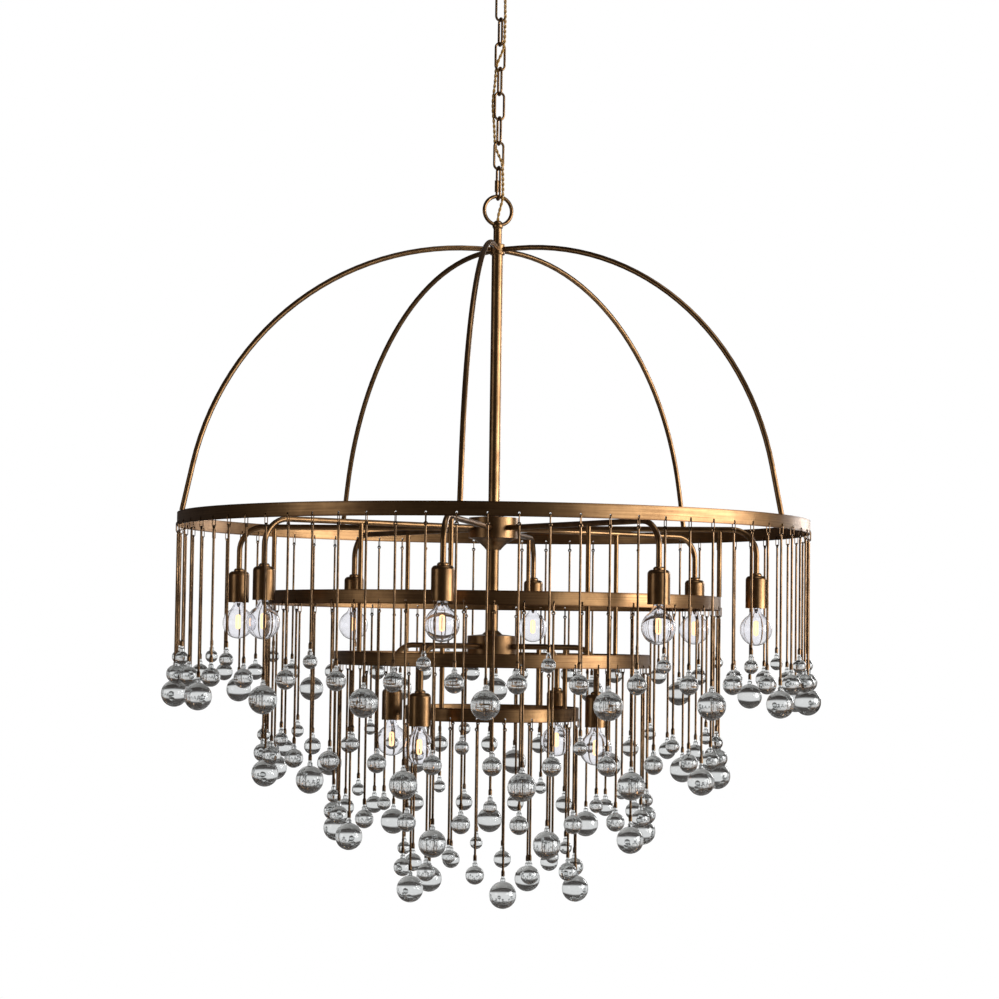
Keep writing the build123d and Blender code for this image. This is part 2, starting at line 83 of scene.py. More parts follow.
# Bodies that the cord passes from the ceiling down.
CORD_BODIES = (["ceiling_fitting"] + [f"chain_link_{number}_body" for number in range(8, 1, -1)]
               + ["screw_link_body", "hanging_ring_body", "lamp"])
# How far down the screw link and the ring the cord passes to the next body, as a share of their height.
SCREW_LINK_CUT = 0.3
RING_CUT = 0.13

# The photograph's camera: its tilt, and its place to the right of the lamp's axis and below the top hoop.
CAMERA_PITCH = math.radians(3.26)
CAMERA_ROLL = math.radians(0.782)
CAMERA_ASIDE = 0.00796
CAMERA_BELOW = 0.1714
SENSOR_WIDTH = 36

# The studio. The paper is white where a line of sight rises by less than the first share of its length, and
# gone past the second. The metal mirrors it where the line goes back by more than the third.
FLOOR_SIZE = 5.6
PAPER_WHITE, PAPER_GONE = 0.18, 0.31
PAPER_MIRRORED = 0.95
ROOM_STRENGTH = 0.36
# Lamps, aimed this far below the top hoop: name, place, diameter and power in watts.
LAMP_AIM = 0.1
STUDIO_LAMPS = (
    ("key_right", (3.2, -0.9, -0.6), 2.2, 125),
    ("front_right", (2.3, -2.5, -0.5), 1.4, 22),
    ("fill_left", (-2.9, -1.8, -0.7), 1.4, 8),
    ("top_soft", (0.9, -0.3, 1.1), 1.2, 8),
    ("rim_back", (2.2, 2.6, -0.3), 1.2, 25))

# Width of the painted shade, a dark line along a hoop's top and bottom edges, and the depth of the brushing.
PAINTED_EDGE_SHADE = 0.0025
BRUSH_DEPTH = 0.0004

# The bulb. Its throat narrows from the shoulder in steps: share of the shoulder's width, and rise above it.
THROAT = ((1.02, 0.0), (0.85, 0.003))
NECK_RISE = 0.008
# Screw base: its play in the neck, the thread's share of its height and the width between ridges. Its end
# narrows in two steps: share of the base's width, and of its height.
BASE_INSET = 0.0006
THREAD_SHARE = 0.7
THREAD_ROOT = 0.9
BASE_END = ((0.6, 0.16), (0.55, 0.14))
# Glass stem, flared at the top and drawn to a tip.
STEM_RADIUS = 0.0024
STEM_LENGTH = 0.012
STEM_FLARE = 1.9
STEM_TIP = 0.003
STEM_TIP_SHARE = 0.45
FILAMENT_LOOPS = 3
FILAMENT_RADIUS = 0.0007
FILAMENT_HEIGHT = 0.54  # its middle, as a share of the globe's diameter above the globe's foot
SHARP_ANGLE = math.radians(40)
NEAR = 1e-5             # vertices within this height of a level count as on it


def linear(code):
    """Linear colour of an sRGB hex value."""
    parts = [int(code[i:i + 2], 16) / 255 for i in (1, 3, 5)]
    return tuple(c / 12.92 if c <= 0.04045 else ((c + 0.055) / 1.055) ** 2.4 for c in parts)


class ChandelierSizes(bpy.types.PropertyGroup):
    """Sizes of the pieces that are made here."""
    cord_diameter: FloatProperty(name="Cord diameter", description="Across the two twisted strands",
                                 default=0.0045, unit="LENGTH")
    cord_twist: FloatProperty(name="Cord twist", description="Length of one full turn of the strands",
                              default=0.015, unit="LENGTH")
    bulb_diameter: FloatProperty(name="Bulb diameter", description="Across the glass globe",
                                 default=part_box("bulb_01")[1].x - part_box("bulb_01")[0].x, unit="LENGTH")
    bulb_wall: FloatProperty(name="Bulb wall", description="Thickness of the globe's glass",
                             default=0.0009, unit="LENGTH")
    neck_diameter: FloatProperty(name="Bulb neck", description="Across the neck above the globe",
                                 default=0.0146, unit="LENGTH")
    shoulder_diameter: FloatProperty(name="Bulb shoulder",
                                     description="Across the globe where the neck begins",
                                     default=0.022, unit="LENGTH")
    base_height: FloatProperty(name="Bulb base", description="Height of the screw base",
                               default=0.023, unit="LENGTH")
    thread_count: IntProperty(name="Thread ridges", description="Ridges around the screw base", default=5)
    filament_height: FloatProperty(name="Filament height", description="Length of the filament's loop",
                                   default=0.014, unit="LENGTH")
    filament_width: FloatProperty(name="Filament width", description="Across each of the filament's loops",
                                  default=0.0064, unit="LENGTH")
    room_height: FloatProperty(name="Room height", description="From the floor to the ceiling",
                               default=3.0, unit="LENGTH")
    lens: FloatProperty(name="Lens", description="Focal length of the photograph's camera", default=86.78)
    camera_distance: FloatProperty(name="Camera distance", description="From the lamp's axis to the camera",
                                   default=3.5022, unit="LENGTH")


class ChandelierFinishes(bpy.types.PropertyGroup):
    """Colours of the finishes."""
    brass_light: FloatVectorProperty(name="Worn brass", description="Where the patina is rubbed thin",
                                     default=linear("#9C7A54"), subtype="COLOR")
    brass_dark: FloatVectorProperty(name="Dark patina", description="Where the brass has gone brown",
                                    default=linear("#4E3522"), subtype="COLOR")
    rod_light: FloatVectorProperty(name="Rod brass", description="Worn brass of the thin drop rods",
                                   default=linear("#86694C"), subtype="COLOR")
    rod_dark: FloatVectorProperty(name="Rod patina", description="Brown patina of the thin drop rods",
                                  default=linear("#34271C"), subtype="COLOR")
    glass_tint: FloatVectorProperty(name="Drop glass", description="Tint of the glass balls",
                                    default=linear("#D9DBDB"), subtype="COLOR")
    bulb_tint: FloatVectorProperty(name="Bulb glass", description="Tint of the globes",
                                   default=linear("#FAFAFD"), subtype="COLOR")
    filament_glow: FloatVectorProperty(name="Filament", description="Colour of the glowing filament",
                                       default=linear("#FFCF98"), subtype="COLOR")
    cord_gold: FloatVectorProperty(name="Cord sleeve", description="Clear gold plastic over the wires",
                                   default=linear("#D8B26C"), subtype="COLOR")
    floor_white: FloatVectorProperty(name="Floor", description="Pale studio floor",
                                     default=linear("#EDEDEB"), subtype="COLOR")


def add(tree, kind, sets=None, values=None, links=None):
    """A new node with its settings, its input values and its links."""
    made = tree.nodes.new(kind)
    for key, value in (sets or {}).items():
        setattr(made, key, value)
    for key, value in (values or {}).items():
        made.inputs[key].default_value = value
    for key, (source, output) in (links or {}).items():
        tree.links.new(source.outputs[output], made.inputs[key])
    return made


def blank(name):
    """An empty material and its node tree."""
    material = bpy.data.materials.new(name)
    material.use_nodes = True
    material.node_tree.nodes.clear()
    return material, material.node_tree


def colour(value):
    """A colour with full opacity, as a node's socket takes it."""
    return (*value, 1.0)


def brass(name, light, dark, grain, patina_size, spread, bump, rough, edges=None):
    """Aged brass, brushed and lacquered: brown patina in streaks, rubbed to gold between them.

    grain is how many streaks there are to the metre along each axis, patina_size the width of the blotches,
    spread how far the tone varies and rough the roughness of the patina. edges are the heights of a strip's
    two edges, along which a thin line of painted shade darkens the brass.
    """
    material, tree = blank(name)
    place = add(tree, "ShaderNodeTexCoord")
    stretch = add(tree, "ShaderNodeMapping", values={"Scale": grain}, links={"Vector": (place, "Object")})
    streaks = add(tree, "ShaderNodeTexNoise", values={"Scale": 1.0, "Detail": 5.0, "Roughness": 0.65},
                  links={"Vector": (stretch, "Vector")})
    blotches = add(tree, "ShaderNodeTexNoise",
                   values={"Scale": 1 / patina_size, "Detail": 4.0, "Roughness": 0.6},
                   links={"Vector": (place, "Object")})
    mixed = add(tree, "ShaderNodeMix", sets={"data_type": "FLOAT"}, values={"Factor": 0.45},
                links={"A": (streaks, "Fac"), "B": (blotches, "Fac")})
    wear_and_edge_shade = add(tree, "ShaderNodeMapRange",
               values={"From Min": 0.36, "From Max": 0.64, "To Min": 0.5 - spread, "To Max": 0.5 + spread},
               links={"Value": (mixed, "Result")})
    # Painted shade: the colour darkens to a thin dark line along the strip's top and bottom edges.
    if edges:
        height = add(tree, "ShaderNodeSeparateXYZ", links={"Vector": (place, "Object")})
        off = add(tree, "ShaderNodeMath", sets={"operation": "SUBTRACT"},
                  values={1: (edges[0] + edges[1]) / 2}, links={0: (height, "Z")})
        away = add(tree, "ShaderNodeMath", sets={"operation": "ABSOLUTE"}, links={0: (off, "Value")})
        half = (edges[1] - edges[0]) / 2
        # Painted shade along the edges: full colour inside the strip, down to a tenth at each edge.
        rubbed = add(tree, "ShaderNodeMapRange", sets={"interpolation_type": "SMOOTHSTEP"},
                     values={"From Min": half - PAINTED_EDGE_SHADE, "From Max": half, "To Min": 1.0, "To Max": 0.1},
                     links={"Value": (away, "Value")})
        wear_and_edge_shade = add(tree, "ShaderNodeMath", sets={"operation": "MULTIPLY"},
                   links={0: (wear_and_edge_shade, "Result"), 1: (rubbed, "Result")})
    tone = add(tree, "ShaderNodeMix", sets={"data_type": "RGBA"}, links={"Factor": (wear_and_edge_shade, 0)})
    tone.inputs["A"].default_value = colour(dark)
    tone.inputs["B"].default_value = colour(light)
    gloss = add(tree, "ShaderNodeMapRange", values={"To Min": rough, "To Max": rough * 0.66},
                links={"Value": (wear_and_edge_shade, 0)})
    relief = add(tree, "ShaderNodeBump", values={"Strength": bump, "Distance": BRUSH_DEPTH},
                 links={"Height": (streaks, "Fac")})
    shader = add(tree, "ShaderNodeBsdfPrincipled", values={"Metallic": 1.0},
                 links={"Base Color": (tone, "Result"), "Roughness": (gloss, "Result"),
                        "Normal": (relief, "Normal")})
    add(tree, "ShaderNodeOutputMaterial", links={"Surface": (shader, "BSDF")})
    return material


def drop_glass(finishes):
    """Solid soda-lime glass: clear and smooth, with the faint waviness of a hand-made ball."""
    material, tree = blank("clear_drop_glass")
    place = add(tree, "ShaderNodeTexCoord")
    waves = add(tree, "ShaderNodeTexNoise", values={"Scale": 1 / 0.009, "Detail": 2.0},
                links={"Vector": (place, "Object")})
    relief = add(tree, "ShaderNodeBump", values={"Strength": 0.1, "Distance": 0.0016},
                 links={"Height": (waves, "Fac")})
    shader = add(tree, "ShaderNodeBsdfPrincipled",
                 values={"Base Color": colour(finishes.glass_tint), "Roughness": 0.0, "IOR": 1.5,
                         "Transmission Weight": 1.0},
                 links={"Normal": (relief, "Normal")})
    add(tree, "ShaderNodeOutputMaterial", links={"Surface": (shader, "BSDF")})
    return material


def bulb_glass(finishes):
    """Blown clear bulb glass: thin and smooth, with a faint waviness."""
    material, tree = blank("blown_bulb_glass")
    place = add(tree, "ShaderNodeTexCoord")
    waves = add(tree, "ShaderNodeTexNoise", values={"Scale": 1 / 0.02, "Detail": 1.0},
                links={"Vector": (place, "Object")})
    relief = add(tree, "ShaderNodeBump", values={"Strength": 0.08, "Distance": 0.001},
                 links={"Height": (waves, "Fac")})
    shader = add(tree, "ShaderNodeBsdfPrincipled",
                 values={"Base Color": colour(finishes.bulb_tint), "Roughness": 0.0, "IOR": 1.45,
                         "Transmission Weight": 1.0},
                 links={"Normal": (relief, "Normal")})
    add(tree, "ShaderNodeOutputMaterial", links={"Surface": (shader, "BSDF")})
    return material


def filament_wire(finishes):
    """Tungsten wire, lit warm."""
    material, tree = blank("glowing_tungsten")
    shader = add(tree, "ShaderNodeBsdfPrincipled",
                 values={"Base Color": colour(finishes.filament_glow), "Roughness": 0.5,
                         "Emission Color": colour(finishes.filament_glow), "Emission Strength": 1.6})
    add(tree, "ShaderNodeOutputMaterial", links={"Surface": (shader, "BSDF")})
    return material


def plated_steel(name, bright, dull):
    """Zinc-plated steel: pale grey spangle, a little dull."""
    material, tree = blank(name)
    place = add(tree, "ShaderNodeTexCoord")
    spangle = add(tree, "ShaderNodeTexVoronoi", values={"Scale": 1 / 0.005},
                  links={"Vector": (place, "Object")})
    tone = add(tree, "ShaderNodeMix", sets={"data_type": "RGBA"}, links={"Factor": (spangle, "Distance")})
    tone.inputs["A"].default_value = colour(linear(bright))
    tone.inputs["B"].default_value = colour(linear(dull))
    shader = add(tree, "ShaderNodeBsdfPrincipled", values={"Metallic": 1.0, "Roughness": 0.38},
                 links={"Base Color": (tone, "Result")})
    add(tree, "ShaderNodeOutputMaterial", links={"Surface": (shader, "BSDF")})
    return material


def holder_plastic():
    """Moulded phenolic of the lampholders: near black, with a fine mould texture."""
    material, tree = blank("moulded_phenolic")
    place = add(tree, "ShaderNodeTexCoord")
    grit = add(tree, "ShaderNodeTexNoise", values={"Scale": 1 / 0.0008, "Detail": 2.0},
               links={"Vector": (place, "Object")})
    relief = add(tree, "ShaderNodeBump", values={"Strength": 0.2, "Distance": 0.0003},
                 links={"Height": (grit, "Fac")})
    shader = add(tree, "ShaderNodeBsdfPrincipled",
                 values={"Base Color": colour(linear("#25211D")), "Roughness": 0.55},
                 links={"Normal": (relief, "Normal")})
    add(tree, "ShaderNodeOutputMaterial", links={"Surface": (shader, "BSDF")})
    return material


def gold_sleeve(finishes):
    """Clear gold PVC over stranded wire: glossy and see-through, with the wire's dull glint inside."""
    material, tree = blank("clear_gold_pvc")
    place = add(tree, "ShaderNodeTexCoord")
    strands = add(tree, "ShaderNodeTexNoise", values={"Scale": 1 / 0.0025, "Detail": 3.0},
                  links={"Vector": (place, "Object")})
    tone = add(tree, "ShaderNodeMix", sets={"data_type": "RGBA"}, links={"Factor": (strands, "Fac")})
    tone.inputs["A"].default_value = colour(linear("#B4853F"))
    tone.inputs["B"].default_value = colour(finishes.cord_gold)
    shader = add(tree, "ShaderNodeBsdfPrincipled",
                 values={"Roughness": 0.22, "IOR": 1.52, "Transmission Weight": 0.35},
                 links={"Base Color": (tone, "Result")})
    add(tree, "ShaderNodeOutputMaterial", links={"Surface": (shader, "BSDF")})
    return material


def dress(names, material):
    """Give CAD nodes one finish."""
    for name in names:
        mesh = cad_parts[name].data
        mesh.materials.clear()
        mesh.materials.append(material)


def deselect():
    """Leave nothing selected."""
    bpy.ops.object.select_all(action="DESELECT")


def join(pieces, name):
    """Join pieces into the first one."""
    deselect()
    for piece in pieces:
        piece.select_set(True)
    bpy.context.view_layer.objects.active = pieces[0]
    bpy.ops.object.join()
    joined = bpy.context.view_layer.objects.active
    joined.name = joined.data.name = name
    return joined


def select_verts(piece, test):
    """Select the vertices of the piece being edited that pass a test of their place, and nothing else."""
    bpy.ops.mesh.select_mode(type="VERT")
    bpy.ops.mesh.select_all(action="DESELECT")
    bpy.ops.object.mode_set(mode="OBJECT")
    for vertex in piece.data.vertices:
        vertex.select = bool(test(vertex.co))
    bpy.ops.object.mode_set(mode="EDIT")


class CHANDELIER_OT_studio(bpy.types.Operator):
    """Camera of the photograph, white surroundings, floor and lamps"""
    bl_idname = "chandelier.studio"
    bl_label = "Studio"

    def execute(self, context):
        sizes = context.scene.chandelier_sizes
        self.camera(context, sizes)
        self.floor(context, sizes, context.scene.chandelier_finishes)
        self.surroundings(context)
        self.lamps(context)
        context.scene.view_settings.view_transform = "Standard"
        return {"FINISHED"}

    def camera(self, context, sizes):
        ahead = Vector((0, math.cos(CAMERA_PITCH), math.sin(CAMERA_PITCH)))
        level_up = Vector((0, -math.sin(CAMERA_PITCH), math.cos(CAMERA_PITCH)))
        right = Vector((math.cos(CAMERA_ROLL), 0, 0)) + level_up * math.sin(CAMERA_ROLL)
        up = right.cross(ahead)
        place = Vector((CAMERA_ASIDE, -sizes.camera_distance, TOP_HOOP - CAMERA_BELOW))
        turn = Matrix((right, up, -ahead)).transposed().to_4x4()
        bpy.ops.object.camera_add()
        camera = context.object
        camera.name = "photograph_camera"
        camera.matrix_world = Matrix.Translation(place) @ turn
        camera.data.lens = sizes.lens
        camera.data.sensor_width = SENSOR_WIDTH
        context.scene.camera = camera

    def floor(self, context, sizes, finishes):
        deselect()
        bpy.ops.mesh.primitive_plane_add(size=FLOOR_SIZE, location=(0, 0, -sizes.room_height))
        floor = context.object
        floor.name = "studio_floor"
        material, tree = blank("pale_floor")
        shader = add(tree, "ShaderNodeBsdfPrincipled",
                     values={"Base Color": colour(finishes.floor_white), "Roughness": 0.8})
        add(tree, "ShaderNodeOutputMaterial", links={"Surface": (shader, "BSDF")})
        floor.data.materials.append(material)

    def surroundings(self, context):
        """White paper all round the lamp, at its height, that shows directly and through the glass.

        The metal mirrors what is straight behind it. The room above and below the paper is dim.
        """
        world = bpy.data.worlds.new("white_studio")
        context.scene.world = world
        world.use_nodes = True
        tree = world.node_tree
        tree.nodes.clear()
        place = add(tree, "ShaderNodeTexCoord")
        way = add(tree, "ShaderNodeSeparateXYZ", links={"Vector": (place, "Generated")})
        slope = add(tree, "ShaderNodeMath", sets={"operation": "ABSOLUTE"}, links={0: (way, "Z")})
        level = add(tree, "ShaderNodeMapRange", sets={"interpolation_type": "SMOOTHSTEP"},
                    values={"From Min": PAPER_WHITE, "From Max": PAPER_GONE, "To Min": 1.0, "To Max": 0.0},
                    links={"Value": (slope, "Value")})
        straight = add(tree, "ShaderNodeMapRange", sets={"interpolation_type": "SMOOTHSTEP"},
                       values={"From Min": PAPER_MIRRORED, "From Max": 1.0}, links={"Value": (way, "Y")})
        path = add(tree, "ShaderNodeLightPath")
        through = add(tree, "ShaderNodeMath", sets={"operation": "MULTIPLY"},
                      links={0: (path, "Is Transmission Ray"), 1: (level, "Result")})
        mirrored = add(tree, "ShaderNodeMath", sets={"operation": "MULTIPLY"},
                       links={0: (path, "Is Glossy Ray"), 1: (straight, "Result")})
        shown = add(tree, "ShaderNodeMath", sets={"operation": "MAXIMUM"},
                    links={0: (through, "Value"), 1: (mirrored, "Value")})
        white = add(tree, "ShaderNodeMath", sets={"operation": "MAXIMUM"},
                    links={0: (path, "Is Camera Ray"), 1: (shown, "Value")})
        room = add(tree, "ShaderNodeBackground",
                   values={"Color": colour(linear("#7A7470")), "Strength": ROOM_STRENGTH})
        paper = add(tree, "ShaderNodeBackground", values={"Color": (1, 1, 1, 1), "Strength": 1.0})
        mixed = add(tree, "ShaderNodeMixShader", links={"Fac": (white, "Value")})
        tree.links.new(room.outputs[0], mixed.inputs[1])
        tree.links.new(paper.outputs[0], mixed.inputs[2])
        add(tree, "ShaderNodeOutputWorld", links={"Surface": (mixed, "Shader")})

    def lamps(self, context):
        """Round lamps, all aimed at the lamp's middle. The glass shows the paper in place of them."""
        middle = Vector((0, 0, TOP_HOOP - LAMP_AIM))
        for name, spot, size, power in STUDIO_LAMPS:
            bpy.ops.object.light_add(type="AREA", location=spot)
            lamp = context.object
            lamp.name = name
            lamp.data.shape = "DISK"
            lamp.data.size = size
            lamp.data.energy = power
            lamp.visible_transmission = False
            lamp.rotation_euler = (middle - Vector(spot)).to_track_quat("-Z", "Y").to_euler()


class CHANDELIER_OT_supply_cord(bpy.types.Operator):
    """Twisted twin cord that climbs through the chain, in one length for each joint it bends across"""
    bl_idname = "chandelier.supply_cord"
    bl_label = "Supply cord"

    def execute(self, context):
        sizes = context.scene.chandelier_sizes
        sleeve = gold_sleeve(context.scene.chandelier_finishes)
        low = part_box("supply_cord")[0].z
        turn = Matrix.Rotation(CHAIN_TURN, 3, "Z")
        route = [turn @ Vector(point) + Vector((0, 0, low)) for point in CORD_ROUTE]
        line = self.centre_line(context, route)[::-1]
        strands = self.strand_lines(line, sizes)
        cuts = self.cuts(line)
        for i, (first, last) in enumerate(zip(cuts, cuts[1:])):
            piece = self.length_of_cord(context, f"cord_{i + 1:02d}", strands, first, last, sizes)
            piece.data.materials.append(sleeve)
            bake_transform(piece)
            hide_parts("supply_cord")
        return {"FINISHED"}

    def centre_line(self, context, route):
        """Points along the smooth line that the route's points steer."""
        curve = bpy.data.curves.new("cord_line", "CURVE")
        curve.dimensions = "3D"
        spline = curve.splines.new("NURBS")
        spline.points.add(len(route) - 1)
        for point, place in zip(spline.points, route):
            point.co = (*place, 1)
        spline.order_u = 3
        spline.use_endpoint_u = True
        spline.resolution_u = 12
        guide = bpy.data.objects.new("cord_line", curve)
        context.collection.objects.link(guide)
        context.view_layer.update()
        mesh = bpy.data.meshes.new_from_object(guide)
        points = [vertex.co.copy() for vertex in mesh.vertices]
        bpy.data.objects.remove(guide)
        bpy.data.meshes.remove(mesh)
        return points

    def strand_lines(self, line, sizes):
        """The two strands' centres, wound round the line."""
        offset = sizes.cord_diameter / 4
        strands = ([], [])
        side = Vector((1, 0, 0))
        run = 0.0
        for i, point in enumerate(line):
            ahead = (line[min(i + 1, len(line) - 1)] - line[max(i - 1, 0)]).normalized()
            side = (side - ahead * side.dot(ahead)).normalized()
            if i:
                run += (point - line[i - 1]).length
            angle = 2 * math.pi * run / sizes.cord_twist
            out = side * math.cos(angle) + ahead.cross(side) * math.sin(angle)
            strands[0].append(point + out * offset)
            strands[1].append(point - out * offset)
        return strands

    def cuts(self, line):
        """Where the cord passes from one body's part to the next: the middle of each link."""
        heights = []
        for body in CORD_BODIES[1:-3]:
            low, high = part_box(body.replace("_body", ""))
            heights.append((low.z + high.z) / 2)
        screw_low, screw_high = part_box("screw_link")
        heights.append(screw_high.z - SCREW_LINK_CUT * (screw_high.z - screw_low.z))
        ring_low, ring_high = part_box("hanging_ring")
        heights.append(ring_high.z - RING_CUT * (ring_high.z - ring_low.z))
        inner = [min(range(len(line)), key=lambda k: abs(line[k].z - height)) for height in heights]
        return [0] + inner + [len(line) - 1]

    def length_of_cord(self, context, name, strands, first, last, sizes):
        """Both strands between two places, as one mesh."""
        made = []
        for strand in strands:
            curve = bpy.data.curves.new(name, "CURVE")
            curve.dimensions = "3D"
            curve.bevel_depth = sizes.cord_diameter / 4
            curve.bevel_resolution = 2
            curve.use_fill_caps = True
            spline = curve.splines.new("POLY")
            spline.points.add(last - first)
            for point, place in zip(spline.points, strand[first:last + 1]):
                point.co = (*place, 1)
            spline.use_smooth = True
            piece = bpy.data.objects.new(name, curve)
            context.collection.objects.link(piece)
            made.append(piece)
        deselect()
        for piece in made:
            piece.select_set(True)
        context.view_layer.objects.active = made[0]
        bpy.ops.object.convert(target="MESH")
        return join(made, name)


class CHANDELIER_OT_bulbs(bpy.types.Operator):
    """Clear globe bulbs with a screw base, a glass stem and a glowing loop of wire"""
    bl_idname = "chandelier.bulbs"
    bl_label = "Bulbs"

    def execute(self, context):
        sizes = context.scene.chandelier_sizes
        finishes = context.scene.chandelier_finishes
        glass = bulb_glass(finishes)
        globe = self.globe(context, sizes, glass)
        base = self.base(context, sizes, plated_steel("nickel_plated_cap", "#CFCBC2", "#A9A49A"))
        stem = self.stem(context, sizes, glass)
        wire = self.filament(context, sizes, filament_wire(finishes))
        master = join([globe, base, stem, wire], "bulb_master")
        for node in BULBS:
            low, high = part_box(node)
            bulb = master.copy()
            bulb.data = master.data.copy()
            bulb.name = bulb.data.name = node + "_clear"
            context.collection.objects.link(bulb)
            bulb.data.transform(Matrix.Translation(((low.x + high.x) / 2, (low.y + high.y) / 2, low.z)))
            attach(bulb, node + "_body")
            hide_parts(node)
        bpy.data.objects.remove(master)
        return {"FINISHED"}

    def neck_height(self, sizes):
        """Top of the glass neck above the globe's lowest point."""
        low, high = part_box(BULBS[0])
        return high.z - low.z - sizes.base_height

    def globe(self, context, sizes, glass):
        """Hollow globe, open at the top of its neck."""
        radius = sizes.bulb_diameter / 2
        deselect()
        bpy.ops.mesh.primitive_uv_sphere_add(segments=40, ring_count=28, radius=radius,
                                             location=(0, 0, radius))
        globe = context.object
        bpy.ops.object.transform_apply(location=True, rotation=True, scale=True)
        shoulder = sizes.shoulder_diameter / 2
        join_height = radius + math.sqrt(radius ** 2 - shoulder ** 2)
        bpy.ops.object.mode_set(mode="EDIT")
        select_verts(globe, lambda co: co.z > join_height)
        bpy.ops.mesh.delete(type="VERT")
        top = max(vertex.co.z for vertex in self.settled(globe))
        select_verts(globe, lambda co: co.z > top - NEAR)
        now = max(vertex.co.xy.length for vertex in globe.data.vertices if vertex.co.z > top - NEAR)
        neck = sizes.neck_diameter / 2
        steps = [(share * shoulder, join_height + rise) for share, rise in THROAT]
        steps += [(neck, join_height + NECK_RISE), (neck, self.neck_height(sizes))]
        for width, height in steps:
            bpy.ops.mesh.extrude_region_move(TRANSFORM_OT_translate={"value": (0, 0, height - top)})
            bpy.ops.transform.resize(value=(width / now, width / now, 1), center_override=(0, 0, height))
            now, top = width, height
        bpy.ops.object.mode_set(mode="OBJECT")
        bpy.ops.object.shade_smooth()
        wall = globe.modifiers.new("wall", "SOLIDIFY")
        wall.thickness = sizes.bulb_wall
        wall.offset = -1
        bpy.ops.object.modifier_apply(modifier=wall.name)
        globe.data.materials.append(glass)
        return globe

    def settled(self, piece):
        """The vertices of a piece being edited, as they are now."""
        bpy.ops.object.mode_set(mode="OBJECT")
        bpy.ops.object.mode_set(mode="EDIT")
        return piece.data.vertices

    def base(self, context, sizes, metal):
        """Screw base: ridges in place of the thread, then a contact at the end."""
        radius = sizes.neck_diameter / 2 - BASE_INSET
        low = self.neck_height(sizes)
        ridge = sizes.base_height * THREAD_SHARE / (2 * sizes.thread_count)
        deselect()
        bpy.ops.mesh.primitive_circle_add(vertices=28, radius=radius, fill_type="NGON",
                                          location=(0, 0, low))
        base = context.object
        bpy.ops.object.transform_apply(location=True, rotation=True, scale=True)
        bpy.ops.object.mode_set(mode="EDIT")
        bpy.ops.mesh.select_all(action="SELECT")
        now, height = radius, low
        steps = [(THREAD_ROOT * radius, ridge), (radius, ridge)] * sizes.thread_count
        steps += [(width * radius, rise * sizes.base_height) for width, rise in BASE_END]
        for width, rise in steps:
            bpy.ops.mesh.extrude_region_move(TRANSFORM_OT_translate={"value": (0, 0, rise)})
            height += rise
            bpy.ops.transform.resize(value=(width / now, width / now, 1), center_override=(0, 0, height))
            now = width
        bpy.ops.object.mode_set(mode="OBJECT")
        bpy.ops.object.shade_smooth_by_angle(angle=SHARP_ANGLE)
        base.data.materials.append(metal)
        return base

    def stem(self, context, sizes, glass):
        """Glass stem inside the neck that carries the filament."""
        top = self.neck_height(sizes)
        foot = top - STEM_LENGTH
        deselect()
        bpy.ops.mesh.primitive_cylinder_add(vertices=16, radius=STEM_RADIUS, depth=STEM_LENGTH,
                                            location=(0, 0, (top + foot) / 2))
        stem = context.object
        bpy.ops.object.transform_apply(location=True, rotation=True, scale=True)
        bpy.ops.object.mode_set(mode="EDIT")
        select_verts(stem, lambda co: co.z > top - NEAR)
        bpy.ops.transform.resize(value=(STEM_FLARE, STEM_FLARE, 1), center_override=(0, 0, top))
        select_verts(stem, lambda co: co.z < foot + NEAR)
        bpy.ops.mesh.extrude_region_move(TRANSFORM_OT_translate={"value": (0, 0, -STEM_TIP)})
        bpy.ops.transform.resize(value=(STEM_TIP_SHARE, STEM_TIP_SHARE, 1),
                                 center_override=(0, 0, foot - STEM_TIP))
        bpy.ops.object.mode_set(mode="OBJECT")
        bpy.ops.object.shade_smooth_by_angle(angle=SHARP_ANGLE)
        stem.data.materials.append(glass)
        return stem

    def filament(self, context, sizes, wire):
        """Long loops of wire, crossing on the bulb's axis."""
        middle = sizes.bulb_diameter * FILAMENT_HEIGHT
        loops = []
        for turn in range(FILAMENT_LOOPS):
            deselect()
            bpy.ops.mesh.primitive_torus_add(major_radius=sizes.filament_width / 2,
                                             minor_radius=FILAMENT_RADIUS, major_segments=16,
                                             minor_segments=8, location=(0, 0, middle),
                                             rotation=(math.pi / 2, 0, math.pi * turn / FILAMENT_LOOPS))
            loop = context.object
            bpy.ops.object.transform_apply(location=True, rotation=True, scale=True)
            bpy.ops.object.mode_set(mode="EDIT")
            select_verts(loop, lambda co: co.z > middle + NEAR)
            bpy.ops.transform.translate(value=(0, 0, sizes.filament_height / 2))
            select_verts(loop, lambda co: co.z < middle - NEAR)
            bpy.ops.transform.translate(value=(0, 0, -sizes.filament_height / 2))
            bpy.ops.object.mode_set(mode="OBJECT")
            bpy.ops.object.shade_smooth()
            loop.data.materials.append(wire)
            loops.append(loop)
        return join(loops, "filament")


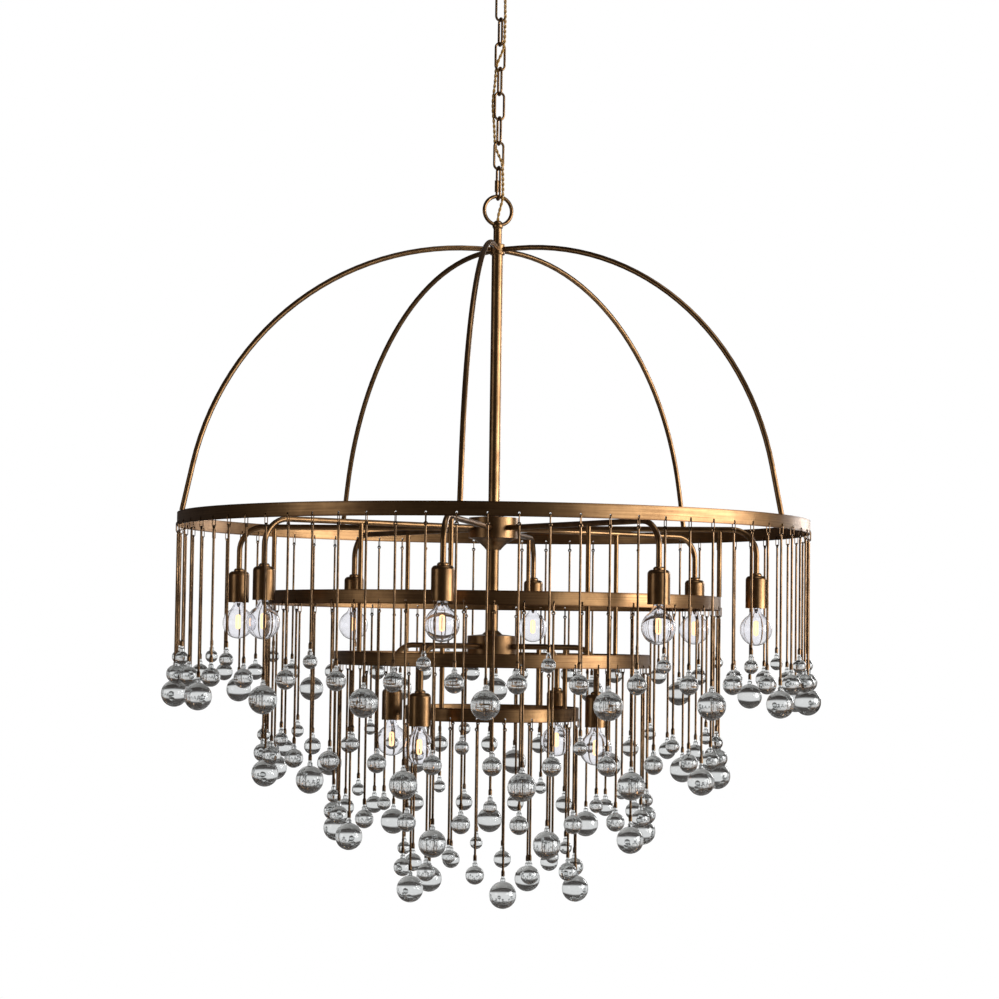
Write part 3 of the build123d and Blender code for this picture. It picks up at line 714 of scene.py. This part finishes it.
class CHANDELIER_OT_brasswork(bpy.types.Operator):
    """Aged brass on the frame, hoops, chain and drop rods, plated steel and plastic on what they hide"""
    bl_idname = "chandelier.brasswork"
    bl_label = "Brasswork"

    def execute(self, context):
        finishes = context.scene.chandelier_finishes
        light, dark = finishes.brass_light, finishes.brass_dark
        # Brushed along the hoop: streaks 1.6 mm high and 140 mm long, as coarse as shows in the picture.
        for hoop in HOOPS:
            low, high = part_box(hoop)
            # Each hoop gets a painted shade line along its top and bottom edges.
            dress([hoop], brass("brushed_brass_" + hoop, light, dark, grain=(7, 7, 620), patina_size=0.05,
                                spread=0.3, bump=0.2, rough=0.42, edges=(low.z, high.z)))
        # Drawn rod and tube, polished by hand: soft mottling.
        dress(FRAMEWORK, brass("drawn_brass", light, dark, grain=(60, 60, 30), patina_size=0.03,
                               spread=0.25, bump=0.05, rough=0.38))
        dress(CHAIN, brass("chain_brass", light, dark, grain=(300, 300, 200), patina_size=0.012,
                           spread=0.4, bump=0.1, rough=0.35))
        dress(DROP_RODS + ["drop_hooks"],
              brass("drop_rod_brass", finishes.rod_light, finishes.rod_dark, grain=(260, 260, 60),
                    patina_size=0.02, spread=0.4, bump=0.05, rough=0.24))
        dress(STEELWORK, plated_steel("zinc_plated_steel", "#C4C6C6", "#9DA0A1"))
        dress(["lampholders"], holder_plastic())
        return {"FINISHED"}


class CHANDELIER_OT_glass_drops(bpy.types.Operator):
    """Clear glass on the hanging balls"""
    bl_idname = "chandelier.glass_drops"
    bl_label = "Glass drops"

    def execute(self, context):
        dress(BALLS, drop_glass(context.scene.chandelier_finishes))
        return {"FINISHED"}


class CHANDELIER_PT_panel(bpy.types.Panel):
    """Lists the chandelier's pieces"""
    bl_idname = "CHANDELIER_PT_panel"
    bl_label = "Chandelier"
    bl_space_type = "VIEW_3D"
    bl_region_type = "UI"
    bl_category = "Chandelier"

    def draw(self, context):
        for operator in OPERATORS:
            self.layout.operator(operator.bl_idname)
        for group in (context.scene.chandelier_sizes, context.scene.chandelier_finishes):
            for name in group.__annotations__:
                self.layout.prop(group, name)


OPERATORS = (CHANDELIER_OT_studio, CHANDELIER_OT_supply_cord, CHANDELIER_OT_bulbs, CHANDELIER_OT_brasswork,
             CHANDELIER_OT_glass_drops)
CLASSES = (ChandelierSizes, ChandelierFinishes, *OPERATORS, CHANDELIER_PT_panel)


def register():
    for each in CLASSES:
        bpy.utils.register_class(each)
    bpy.types.Scene.chandelier_sizes = PointerProperty(type=ChandelierSizes)
    bpy.types.Scene.chandelier_finishes = PointerProperty(type=ChandelierFinishes)


def unregister():
    del bpy.types.Scene.chandelier_finishes
    del bpy.types.Scene.chandelier_sizes
    for each in reversed(CLASSES):
        bpy.utils.unregister_class(each)


def main():
    register()
    bpy.ops.chandelier.studio()
    bpy.ops.chandelier.supply_cord()
    bpy.ops.chandelier.bulbs()
    bpy.ops.chandelier.brasswork()
    bpy.ops.chandelier.glass_drops()


if __name__ == "__main__":
    main()
